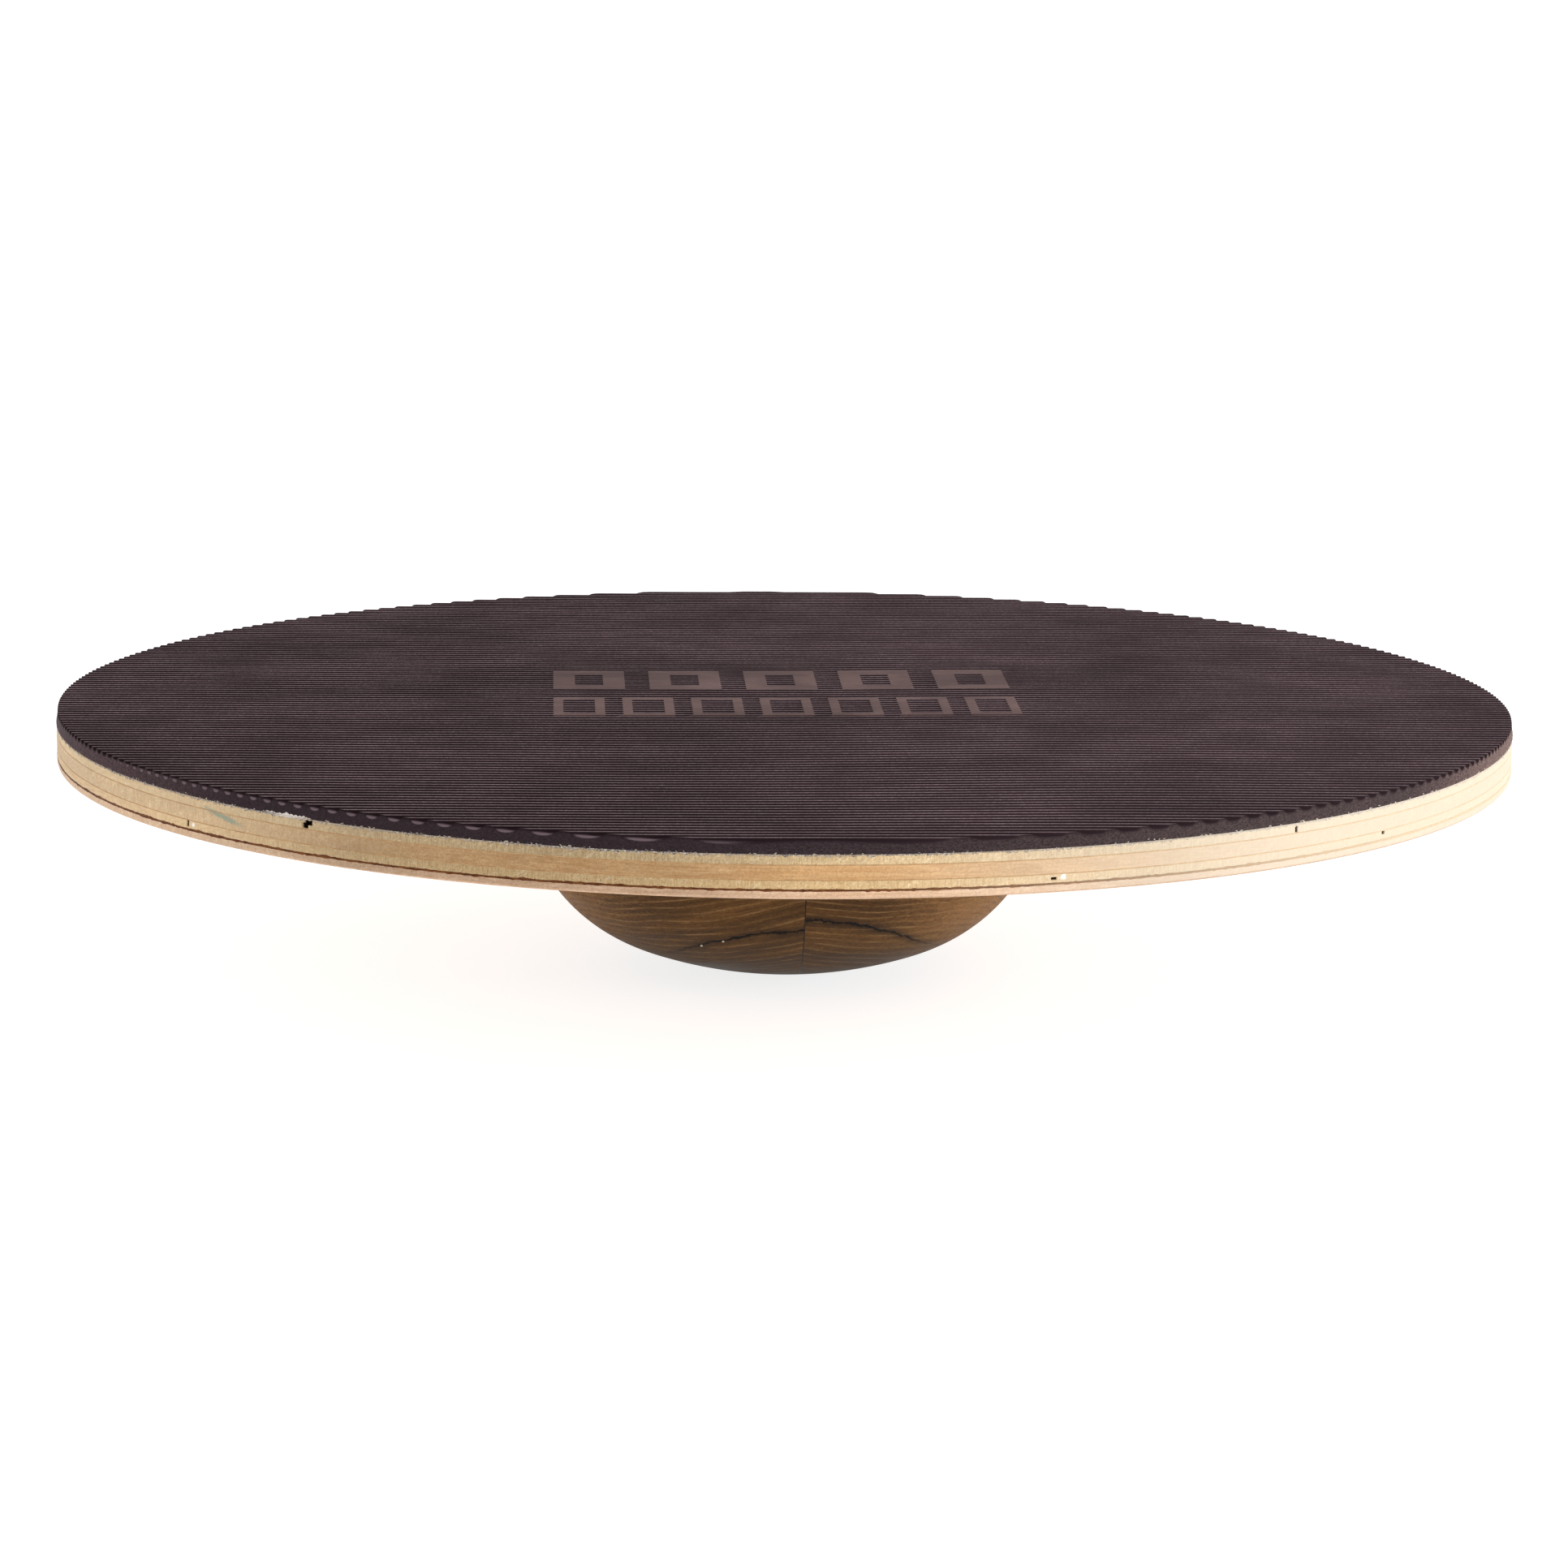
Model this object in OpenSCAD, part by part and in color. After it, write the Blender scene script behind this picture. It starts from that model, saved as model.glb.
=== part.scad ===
// Round wooden balance board. A ribbed rubber mat is glued on a four-veneer plywood deck,
// and the deck is screwed to a turned hardwood dome on which the whole board tilts and turns.
// Origin: the lowest point of the dome, where it touches the floor. +Z up. The mat's ribs run
// along X. Millimetres.

/* [Deck] */
// Diameter of the deck and of the mat on it
board_d = 400; // [360:1:450]
// Thickness of the upper face veneer
ply_top_t = 2.3; // [1.8:0.05:3]
// Thickness of the core veneer
ply_core_t = 3.65; // [3:0.05:5]
// Thickness of the cross veneer under the core
ply_cross_t = 2.15; // [1.8:0.05:3]
// Thickness of the lower face veneer
ply_bottom_t = 2.1; // [1.8:0.05:3]
// Thickness of each of the two fine glue lines
fine_glue_t = 0.15; // [0.1:0.05:0.3]
// Thickness of the broad dark glue line above the lower face veneer
dark_glue_t = 0.4; // [0.2:0.05:0.6]
// Radius of the eased lower edge of the deck
edge_round = 1; // [0.4:0.1:1.5]

/* [Mat] */
// Thickness of the glue between the deck and the mat
mat_glue_t = 0.25; // [0.15:0.05:0.5]
// Thickness of the mat below its ribs
mat_base_t = 2.9; // [2:0.1:4]
// Height of the ribs
rib_h = 0.95; // [0.5:0.05:1.2]
// Distance from one rib to the next
rib_pitch = 3.45; // [3:0.05:5]
// Width of a rib at its foot
rib_foot_w = 2.3; // [2:0.05:2.6]
// Width of a rib at its shoulder, above which it narrows to the crest
rib_shoulder_w = 1.7; // [1.4:0.05:1.9]
// Width of a rib at its crest
rib_crest_w = 1; // [0.6:0.05:1.2]
// How far the cut edge of the mat leans in at its top
mat_bevel = 0.45; // [0.1:0.05:1]

/* [Moulded marks] */
// Number of bold frames in the far row of flat marks
bold_count = 5; // [3:1:6]
// Width of a bold frame
bold_w = 20; // [16:1:22]
// Length of a bold frame, across the ribs
bold_l = 31; // [20:1:36]
// Width of the line that a bold frame is drawn with
bold_line_w = 6; // [4:0.5:7]
// Number of fine frames in the near row of flat marks
fine_count = 7; // [4:1:7]
// Width of a fine frame
fine_w = 14; // [10:1:16]
// Length of a fine frame, across the ribs
fine_l = 28; // [20:1:34]
// Width of the line that a fine frame is drawn with
fine_line_w = 2.6; // [1.5:0.1:3.5]
// Overall width of both rows
marks_w = 128; // [124:1:150]
// Gap between the two rows
row_gap = 14; // [4:1:20]
// Where the middle of that gap lies, from the middle of the board
marks_y = 10; // [-20:1:30]

/* [Dome] */
// Diameter of the dome where it meets the deck
dome_d = 146; // [140:1:160]
// Height of the wooden dome
dome_h = 60.2; // [58:0.1:75]
// Radius of the crown, the part that touches the floor
crown_r = 120.5; // [110:0.5:160]
// Diameter of the small flat that turning leaves at the lowest point
crown_flat_d = 4; // [2:0.5:5]
// Radius of the shoulder between the crown and the straight rim
shoulder_r = 46.5; // [40:0.5:51]
// Where the seam between the two blocks lies, from the dome's axis
seam_x = 3; // [-10:0.5:10]
// Thickness of the glue in the seam
seam_t = 0.3; // [0.2:0.05:0.6]
// Thickness of the glue between the dome and the deck
dome_glue_t = 0.2; // [0.1:0.05:0.4]

/* [Screws] */
// Distance between neighbouring screws, which stand in a square
screw_spacing = 62; // [40:1:74]
// Outer diameter of the screw's thread and shank
screw_d = 4; // [3.5:0.5:5]
// Diameter of the countersunk head
screw_head_d = 8; // [7:0.5:9]
// Length of the screw, head included
screw_l = 35; // [25:1:45]
// Distance from one thread turn to the next
thread_pitch = 1.8; // [1.5:0.1:2.5]

/* [Hidden] */
$fn = 96;
board_r = board_d / 2;
dome_r = dome_d / 2;
mat_t = mat_base_t + rib_h;
// Heights of the layers above the floor
deck_z = dome_h + dome_glue_t;
dark_z = deck_z + ply_bottom_t;
cross_z = dark_z + dark_glue_t;
fine_lower_z = cross_z + ply_cross_t;
core_z = fine_lower_z + fine_glue_t;
fine_upper_z = core_z + ply_core_t;
top_z = fine_upper_z + fine_glue_t;
mat_glue_z = top_z + ply_top_t;
mat_z = mat_glue_z + mat_glue_t;
// The crown arc and the shoulder arc are tangent where they meet
crown_z = sqrt(pow(crown_r, 2) - pow(crown_flat_d / 2, 2));
shoulder_x = dome_r - shoulder_r;
arc_angle = asin(shoulder_x / (crown_r - shoulder_r));
shoulder_z = crown_z - (crown_r - shoulder_r) * cos(arc_angle);
meet_x = crown_r * sin(arc_angle);
meet_z = crown_z - crown_r * cos(arc_angle);
// Screws
shank_l = 12;
tip_l = 5;
thread_root_d = screw_d * 0.7;
head_h = (screw_head_d - screw_d) / 2;
recess_l = 4.4;
recess_w = 0.9;
recess_h = 1.5;
hole_slack = 0.05;
// Cutting solids reach this far past what they cut
over = 1;

// A disc of the deck, with the four screw holes
module layer(z, thickness) {
    difference() {
        translate([0, 0, z]) cylinder(r = board_r, h = thickness);
        at_screws() shank_hole(z - over, thickness + 2 * over);
    }
}

// The four screw places, two in each block of the dome
module at_screws() {
    for (x = [-0.5, 0.5], y = [-0.5, 0.5])
        translate([seam_x + x * screw_spacing, y * screw_spacing, 0]) children();
}

module shank_hole(z, length) {
    translate([0, 0, z]) cylinder(d = screw_d + 2 * hole_slack, h = length);
}

// Section of all the grooves, joined by a bar above the mat's top. Between two grooves is a
// gap for a rib, whose width follows the rib's foot, shoulder and crest.
module groove_comb() {
    ribs = ceil(board_r / rib_pitch) + 1;
    shoulder = rib_h * 0.6;
    end = (ribs + 0.5) * rib_pitch;
    polygon(concat(
        [[-end, rib_h + 2 * over], [-end, 0]],
        [for (i = [-ribs : ribs], p = [
            [-rib_foot_w / 2, 0],
            [-rib_shoulder_w / 2, shoulder],
            [-rib_crest_w / 2, rib_h],
            [-rib_crest_w / 2, rib_h + over],
            [rib_crest_w / 2, rib_h + over],
            [rib_crest_w / 2, rib_h],
            [rib_shoulder_w / 2, shoulder],
            [rib_foot_w / 2, 0]
        ]) [i * rib_pitch + p[0], p[1]]],
        [[end, 0], [end, rib_h + 2 * over]]
    ));
}

module grooves() {
    translate([-board_r - over, 0, mat_base_t])
        rotate([90, 0, 90]) linear_extrude(board_d + 2 * over) groove_comb();
}

// A row of open frames, centred on X, whose near side lies at y
module frame_row(count, width, length, line_w, y) {
    step = (marks_w - width) / (count - 1);
    for (i = [0 : count - 1]) translate([i * step - marks_w / 2, y]) difference() {
        square([width, length]);
        translate([line_w, line_w]) square([width - 2 * line_w, length - 2 * line_w]);
    }
}

// Two rows of smooth flat marks, level with the crests of the ribs
module marks() {
    translate([0, 0, mat_base_t - over]) linear_extrude(rib_h + 4 * over) {
        frame_row(bold_count, bold_w, bold_l, bold_line_w, marks_y + row_gap / 2);
        frame_row(fine_count, fine_w, fine_l, fine_line_w, marks_y - row_gap / 2 - fine_l);
    }
}

module rubber_mat() {
    color("#4b4043") translate([0, 0, mat_z]) difference() {
        cylinder(r1 = board_r, r2 = board_r - mat_bevel, h = mat_t);
        difference() {
            grooves();
            marks();
        }
    }
}

module mat_glue() {
    color("#cfcabd") translate([0, 0, mat_glue_z]) cylinder(r = board_r, h = mat_glue_t);
}

module ply_top() {
    color("#d6bb90") difference() {
        layer(top_z, ply_top_t);
        at_screws() translate([0, 0, mat_glue_z - head_h - hole_slack])
            cylinder(d1 = screw_d + 2 * hole_slack,
                     d2 = screw_head_d + 4 * hole_slack, h = head_h + hole_slack);
    }
}

module fine_glue_upper() {
    color("#b98f5e") layer(fine_upper_z, fine_glue_t);
}

module ply_core() {
    color("#d6aa78") layer(core_z, ply_core_t);
}

module fine_glue_lower() {
    color("#b98f5e") layer(fine_lower_z, fine_glue_t);
}

module ply_cross() {
    color("#dcbb89") layer(cross_z, ply_cross_t);
}

module dark_glue_line() {
    color("#80573a") layer(dark_z, dark_glue_t);
}

module ply_bottom() {
    color("#ceb092") difference() {
        translate([0, 0, deck_z]) rotate_extrude() {
            square([board_r - edge_round, ply_bottom_t]);
            translate([0, edge_round]) square([board_r, ply_bottom_t - edge_round]);
            translate([board_r - edge_round, edge_round]) circle(edge_round);
        }
        at_screws() shank_hole(deck_z - over, ply_bottom_t + 2 * over);
    }
}

module dome_glue() {
    color("#a98a5c") difference() {
        translate([0, 0, dome_h]) cylinder(r = dome_r, h = dome_glue_t);
        at_screws() shank_hole(dome_h - over, dome_glue_t + 2 * over);
    }
}

// Half section of the dome: crown arc, shoulder arc and straight rim
module dome_section() {
    intersection() {
        translate([0, crown_z]) circle(crown_r, $fn = 360);
        square([meet_x, shoulder_z]);
    }
    intersection() {
        translate([shoulder_x, shoulder_z]) circle(shoulder_r, $fn = 240);
        translate([0, meet_z]) square([dome_r, shoulder_z - meet_z]);
    }
    translate([0, meet_z]) square([shoulder_x, dome_h - meet_z]);
    translate([0, shoulder_z]) square([dome_r, dome_h - shoulder_z]);
}

// The part of the dome between two planes across X
module dome_slice(x_low, x_high) {
    intersection() {
        rotate_extrude($fn = 180) dome_section();
        translate([x_low, -dome_d, -over]) cube([x_high - x_low, 2 * dome_d, dome_h + 2 * over]);
    }
}

// Each screw hole in the dome ends in a cone, like the drill and the screw's tip
module screw_wells() {
    depth = mat_glue_z - screw_l;
    at_screws() {
        translate([0, 0, depth + tip_l])
            cylinder(d = screw_d + 2 * hole_slack, h = dome_h - depth);
        translate([0, 0, depth])
            cylinder(d1 = 2 * hole_slack, d2 = screw_d + 2 * hole_slack, h = tip_l);
    }
}

module dome_block_left() {
    color("#6b4a2c") difference() {
        dome_slice(-dome_d, seam_x - seam_t / 2);
        screw_wells();
    }
}

module dome_block_right() {
    color("#7a5534") difference() {
        dome_slice(seam_x + seam_t / 2, dome_d);
        screw_wells();
    }
}

module dome_seam_glue() {
    color("#2a1a10") dome_slice(seam_x - seam_t / 2, seam_x + seam_t / 2);
}

// Section of a countersunk wood screw, its head up at zero: shank, thread rings and a cone
// at the tip. Heights within one thread turn are shares of the thread pitch.
module screw_section() {
    turns = floor((screw_l - shank_l - tip_l) / thread_pitch);
    thread_end = -shank_l - turns * thread_pitch;
    polygon(concat(
        [[0, 0], [screw_head_d / 2, 0], [screw_d / 2, -head_h], [screw_d / 2, -shank_l]],
        [for (i = [0 : turns - 1], p = [
            [thread_root_d / 2, -0.2],
            [thread_root_d / 2, -0.45],
            [screw_d / 2, -0.9],
            [screw_d / 2, -1]
        ]) [p[0], -shank_l + (p[1] - i) * thread_pitch]],
        [[thread_root_d / 2, thread_end - 0.2 * thread_pitch], [0, -screw_l]]
    ));
}

module cross_recess() {
    for (turn = [0, 90]) rotate([0, 0, turn])
        translate([-recess_l / 2, -recess_w / 2, -recess_h]) cube([recess_l, recess_w, 2 * recess_h]);
}

module dome_screws() {
    color("#b7b4ae") at_screws() translate([0, 0, mat_glue_z]) difference() {
        rotate_extrude($fn = 48) screw_section();
        cross_recess();
    }
}

rubber_mat();
mat_glue();
ply_top();
fine_glue_upper();
ply_core();
fine_glue_lower();
ply_cross();
dark_glue_line();
ply_bottom();
dome_glue();
dome_block_left();
dome_block_right();
dome_seam_glue();
dome_screws();
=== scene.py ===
"""Round wooden balance board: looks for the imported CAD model.

Lengths in this script are millimetres, and MM turns them into Blender's metres. Angles round the
board are in degrees from its front (-Y) towards +X.
"""
import math
import random

import bmesh
import bpy
from mathutils import Matrix, Vector, noise


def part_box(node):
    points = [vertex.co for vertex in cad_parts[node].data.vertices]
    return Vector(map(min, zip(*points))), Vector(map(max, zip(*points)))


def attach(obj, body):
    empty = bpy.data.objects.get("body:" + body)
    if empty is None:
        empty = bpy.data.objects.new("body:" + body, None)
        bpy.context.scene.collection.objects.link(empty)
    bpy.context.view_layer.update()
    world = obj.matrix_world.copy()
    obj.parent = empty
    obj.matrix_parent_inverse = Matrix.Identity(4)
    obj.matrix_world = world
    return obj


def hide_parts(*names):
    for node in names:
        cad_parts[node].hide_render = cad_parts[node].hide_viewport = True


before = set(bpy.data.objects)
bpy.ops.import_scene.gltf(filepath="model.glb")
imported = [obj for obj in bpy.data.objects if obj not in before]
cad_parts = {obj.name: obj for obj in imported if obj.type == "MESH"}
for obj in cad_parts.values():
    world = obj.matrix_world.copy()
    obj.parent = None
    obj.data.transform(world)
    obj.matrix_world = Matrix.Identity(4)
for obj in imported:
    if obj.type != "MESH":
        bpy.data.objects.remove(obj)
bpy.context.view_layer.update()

MM = 0.001
BODY = "root"


# ---------------------------------------------------------------- sizes from the CAD frame
def span(node):
    """Lowest and highest corner of a CAD node, in millimetres."""
    low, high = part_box(node)
    return low / MM, high / MM


BOARD_R = span("rubber_mat")[1].x
MAT_LOW, MAT_TOP = (corner.z for corner in span("rubber_mat"))
DOME_R = span("dome_glue")[1].x
DOME_H = span("dome_block_left")[1].z
SEAM_LEFT, SEAM_RIGHT = (corner.x for corner in span("dome_seam_glue"))
SCREW_LOW, SCREW_TOP = (corner.z for corner in span("dome_screws"))

# Mat
RIB_PITCH = 3.45
RIB_H = 0.95
# Half a rib from its crest outwards: (distance, share of the height)
RIB_PROFILE = ((0, 1), (0.35, 0.96), (0.55, 0.78), (0.75, 0.45), (1.05, 0.19), (1.4, 0.05))
RIB_SWERVE = 3.0            # how far a rib wanders from straight
SWERVE_X = 25               # middle of the bend that takes it from one side to the other
SWERVE_REACH = 45           # half the width of that bend
MAT_SWELL = 0.15            # how far the glued mat rises and falls
MAT_BEVEL = 0.45            # how far the cut edge leans in at the top
COLUMN_STEP = 5.0           # distance of the points along a rib
COLUMN_GAP = 0.3            # least distance between a column of points and the lip
ROW_GAP = 0.02              # least distance between two rows of points
TIP_ROWS = 29               # extra rows near the front and the back of the rim
TIP_STEP = 0.4              # their step in degrees
LIP_HIGHLIGHT_W = 1.3                 # width of the painted highlight on the lip at a groove's end
# Where the painted highlight on the lip shows, as angles: it starts, is full, fades, and ends
LIP_HIGHLIGHT_LEFT = (-67, -58, -10, -4)
LIP_HIGHLIGHT_RIGHT = (4, 10, 60, 75)
LIP_HIGHLIGHT_RIGHT_SHARE = 0.25      # how strong the painted highlight is on the right
SIDE_DEPTHS = (0.1, 0.22, 0.5, 0.75, 1.0)   # rings down the cut edge, as shares of its height
LIP_HIGHLIGHT_DEPTH, EDGE_DEPTH = SIDE_DEPTHS[:2]     # last ring of the lip's painted highlight, first of the bare cut edge
SIDE_ROUGH = 0.0003         # roughness of the cut edge, as a share of its radius
MASKS = ("crest", "mark", "edge", "lip")    # masks that every point of the mat carries; lip is the painted highlight at the grooves' ends

# Marks, which stand in for lettering
MARKS_W = 128               # width of each row
MARK_FLANK = 0.12           # width of the steep flank round a flat mark
# Each row of open frames: (count, width, length, line width, y of the near side)
BOLD_FRAMES = (5, 20, 31, 6, 17)
FINE_FRAMES = (7, 14, 28, 2.6, -25)

# Deck
RIM_STEPS = 1440
RIM_LEVELS = 10             # rings of points up a veneer's rim, and in each of its eased corners
RIM_R = BOARD_R - 0.12      # the sawn rim of the plies; the glue fringe stands proud of it
RIM_ROUGH = 0.03            # how far the sawn rim rises and falls
EASED = 0.1                 # rounding of a veneer's corners
EASED_BOTTOM = 1.0          # and of the deck's lower corner
FILM_INSET = 0.4            # how far inside its rim a glue film starts to widen
FRINGE_STEPS = 2880

# Chips and voids in the rim: (angle, lowest z, highest z, half width, depth)
CHIPS = ((-38.9, 69.3, 70.4, 0.9, 3.0), (-38.6, 70.1, 71.5, 1.15, 3.0),
         (-51.6, 63.4, 65.0, 0.5, 1.4), (16.6, 63.6, 64.3, 0.8, 0.7),
         (37.1, 69.2, 70.7, 0.45, 1.0), (46.9, 64.3, 65.1, 0.6, 0.9))
CHIP_STEPS = 9              # points on either side of a chip's middle
CHIP_REACH = 1.3            # how far they reach, in half widths of the chip
WHITE_CHIP = (-43.1, -38.3, 0.4)    # flake of glue at the mat's foot: from angle, to angle, height
TEAL_SMEAR = ((-50.2, 69.9), (-44.5, 66.1))     # paint on the rim: its ends as (angle, z)
SMEAR_W = 1.05

# Dome, as in the CAD: crown arc, shoulder arc and straight rim
CROWN_R = 120.5
CROWN_FLAT_R = 2
CROWN_STEPS = 48
SHOULDER_R = 46.5
SHOULDER_STEPS = 72
DOME_CHAMFER = 0.4          # at the rim of the flat top
DOME_STEPS = 360
DOME_GLUE_R = DOME_R - 0.2  # its glue stays back from the rim of the joint
RING_PITCH = 1.9            # distance between the growth rings of its wood
RING_WARP = 20              # how far they bend
END_LIGHT_REACH = 34             # stretch of X in which painted light on the dome's ends comes in
BOTTOM_SHADE_H = 26                 # height up to which painted shade darkens the dome towards its bottom
CRACK_RUN = (24, 43)        # the crack fades between these distances from the seam
CRACK_RAGGED = 4.5          # how far it strays from its arch
CRACK_EDGE = (0.12, 0.5)    # its dark core ends between these distances from its middle
CRACK_HALO = (0.3, 3.2)     # and its halo between these

# Clearance of the screws
SCREW_SPACING = 62
SCREW_D = 4.1
SCREW_POINT = 5
SCREW_HEAD_D = 8.1
SCREW_HEAD_H = 2
SCREW_SIDES = 32
OVERCUT = 0.1               # how far the cutter stands out above the deck

# Camera: a long lens, a little above the board
CAMERA_BACK = 1463
CAMERA_UP = 250.9           # above the top of the mat
CAMERA_PITCH = 10.65
CAMERA_ROLL = 0.57
CAMERA_TURN = 2.6           # how far the ribs are turned from the picture's horizontal
CAMERA_LENS = 123.06
SENSOR_W = 36

# Light
SURFACE_SHARE = 0.94        # share of a displayed colour that is the surface's own
KEY_PLACE = (2400, -800, 600)
KEY_SIZE = 1200
KEY_POWER = 36              # watts
FLOOR_R = 40000
FLOOR_STEPS = 96
FLOOR_DROP = 0.02           # gap under the board
FLOOR_GLOW = 0.8


# ---------------------------------------------------------------- mesh helpers
def new_piece(name, mesh, smooth_angle):
    """An object of a mesh, shaded smooth but for its corners."""
    mesh.shade_smooth()
    mesh.set_sharp_from_angle(angle=math.radians(smooth_angle))
    piece = bpy.data.objects.new(name, mesh)
    bpy.context.scene.collection.objects.link(piece)
    return piece


def mesh_piece(name, verts, faces, smooth_angle=40):
    """A mesh object from points in millimetres."""
    mesh = bpy.data.meshes.new(name)
    mesh.from_pydata([(x * MM, y * MM, z * MM) for x, y, z in verts], [], faces)
    mesh.validate()
    mesh.update()
    return new_piece(name, mesh, smooth_angle)


def settle(piece, node, material):
    """Gives a piece its material and its body, and hides the CAD node that it stands for."""
    piece.data.materials.clear()
    piece.data.materials.append(material)
    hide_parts(node)
    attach(piece, BODY)


def revolve(profile, steps):
    """Points and faces of a closed turned solid; profile runs from the axis round to the axis."""
    verts, faces, rings = [], [], []
    for r, z in profile:
        if r == 0:
            rings.append([len(verts)] * steps)
            verts.append((0, 0, z))
            continue
        rings.append(list(range(len(verts), len(verts) + steps)))
        for i in range(steps):
            turn = 2 * math.pi * i / steps
            verts.append((r * math.cos(turn), r * math.sin(turn), z))
    for low, high in zip(rings, rings[1:]):
        for i in range(steps):
            j = (i + 1) % steps
            corners = list(dict.fromkeys((low[i], low[j], high[j], high[i])))
            if len(corners) > 2:
                faces.append(corners)
    return verts, faces


def ring_faces(below, above):
    """Four-sided faces between two rings with the same number of points."""
    count = len(below)
    return [(below[i], below[(i + 1) % count], above[(i + 1) % count], above[i])
            for i in range(count)]


def wobble(x, y, z, size, seed=0):
    """Smooth noise from -1 to 1 whose lumps are about size across."""
    return noise.noise(Vector((x / size + seed, y / size - seed, z / size + 7.3 * seed)))


# ---------------------------------------------------------------- materials
def srgb(red, green, blue):
    """The linear colour of a surface that looks about like this 0-255 display colour under the
    bright white surroundings."""
    def linear(v):
        v /= 255
        return SURFACE_SHARE * (v / 12.92 if v <= 0.04045 else ((v + 0.055) / 1.055) ** 2.4)
    return (linear(red), linear(green), linear(blue), 1)


class Shader:
    """One procedural material under construction."""

    def __init__(self, name, roughness=0.6, specular=0.4, **fixed):
        self.material = bpy.data.materials.new(name)
        self.material.use_nodes = True
        self.tree = self.material.node_tree
        self.tree.nodes.clear()
        self.surface = self.tree.nodes.new("ShaderNodeBsdfPrincipled")
        output = self.tree.nodes.new("ShaderNodeOutputMaterial")
        self.tree.links.new(self.surface.outputs[0], output.inputs["Surface"])
        self.surface.inputs["Roughness"].default_value = roughness
        self.surface.inputs["Specular IOR Level"].default_value = specular
        for socket, value in fixed.items():
            self.surface.inputs[socket.replace("_", " ")].default_value = value

    def node(self, kind, settings=(), **inputs):
        """A new node; inputs are sockets or constants by the names of its own sockets."""
        made = self.tree.nodes.new("ShaderNode" + kind)
        for key, value in dict(settings).items():
            setattr(made, key, value)
        for key, value in inputs.items():
            self.feed(made.inputs[key.replace("_", " ")], value)
        return made

    def feed(self, socket, value):
        if isinstance(value, bpy.types.NodeSocket):
            self.tree.links.new(value, socket)
        else:
            socket.default_value = value

    def place(self, scale=(1, 1, 1), turn=(0, 0, 0), shift=(0, 0, 0)):
        """Coordinates in millimetres times scale, after a turn in degrees."""
        where = self.node("TexCoord").outputs["Object"]
        per_mm = [s / MM for s in scale]
        turned = self.node("Mapping", Vector=where, Rotation=[math.radians(a) for a in turn])
        return self.node("Mapping", Vector=turned.outputs[0], Scale=per_mm,
                         Location=shift).outputs[0]

    def noise(self, vector, detail=2.0, roughness=0.5):
        return self.node("TexNoise", Vector=vector, Scale=1.0, Detail=detail,
                         Roughness=roughness).outputs["Fac"]

    def maths(self, operation, a, b=0.0):
        made = self.node("Math", {"operation": operation})
        self.feed(made.inputs[0], a)
        self.feed(made.inputs[1], b)
        return made.outputs[0]

    def ramp(self, value, *stops):
        """A value turned into a colour or grey; stops are (place, colour)."""
        made = self.node("ValToRGB")
        self.feed(made.inputs[0], value)
        elements = made.color_ramp.elements
        while len(elements) < len(stops):
            elements.new(0.5)
        for element, (place, colour) in zip(elements, stops):
            element.position = place
            element.color = colour if not isinstance(colour, (int, float)) else (colour,) * 3 + (1,)
        return made.outputs["Color"]

    def fade(self, value, start, end, low=0.0, high=1.0):
        """low below start, high above end, smooth between."""
        made = self.node("MapRange", {"interpolation_type": "SMOOTHSTEP"})
        for socket, number in zip(("Value", "From Min", "From Max", "To Min", "To Max"),
                                  (value, start, end, low, high)):
            self.feed(made.inputs[socket], number)
        return made.outputs[0]

    def mix(self, share, a, b, blend="MIX"):
        made = self.node("Mix", {"data_type": "RGBA", "blend_type": blend})
        self.feed(made.inputs[0], share)
        self.feed(made.inputs[6], a)
        self.feed(made.inputs[7], b)
        return made.outputs[2]

    def shade(self, colour, value, dark, light):
        """colour times dark where a noise value is low, and times light where it is high."""
        return self.mix(1.0, colour, self.ramp(value, (0.3, dark), (0.7, light)), "MULTIPLY")

    def axis(self, name):
        """One coordinate of the surface in millimetres."""
        split = self.node("SeparateXYZ", Vector=self.node("TexCoord").outputs["Object"])
        return self.maths("MULTIPLY", split.outputs[name], 1 / MM)

    def vector(self, operation, a, b=None):
        """A vector maths node on a socket and, where it takes two, a constant."""
        made = self.node("VectorMath", {"operation": operation})
        self.feed(made.inputs[0], a)
        if b is not None:
            self.feed(made.inputs[1], b)
        return made

    def bump(self, height, distance, strength=1.0, under=None):
        made = self.node("Bump", Height=height, Distance=distance * MM, Strength=strength)
        if under is not None:
            self.feed(made.inputs["Normal"], under)
        return made.outputs[0]

    def finish(self, colour, roughness=None, normal=None):
        self.feed(self.surface.inputs["Base Color"], colour)
        if roughness is not None:
            self.feed(self.surface.inputs["Roughness"], roughness)
        if normal is not None:
            self.feed(self.surface.inputs["Normal"], normal)
        return self.material


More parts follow.
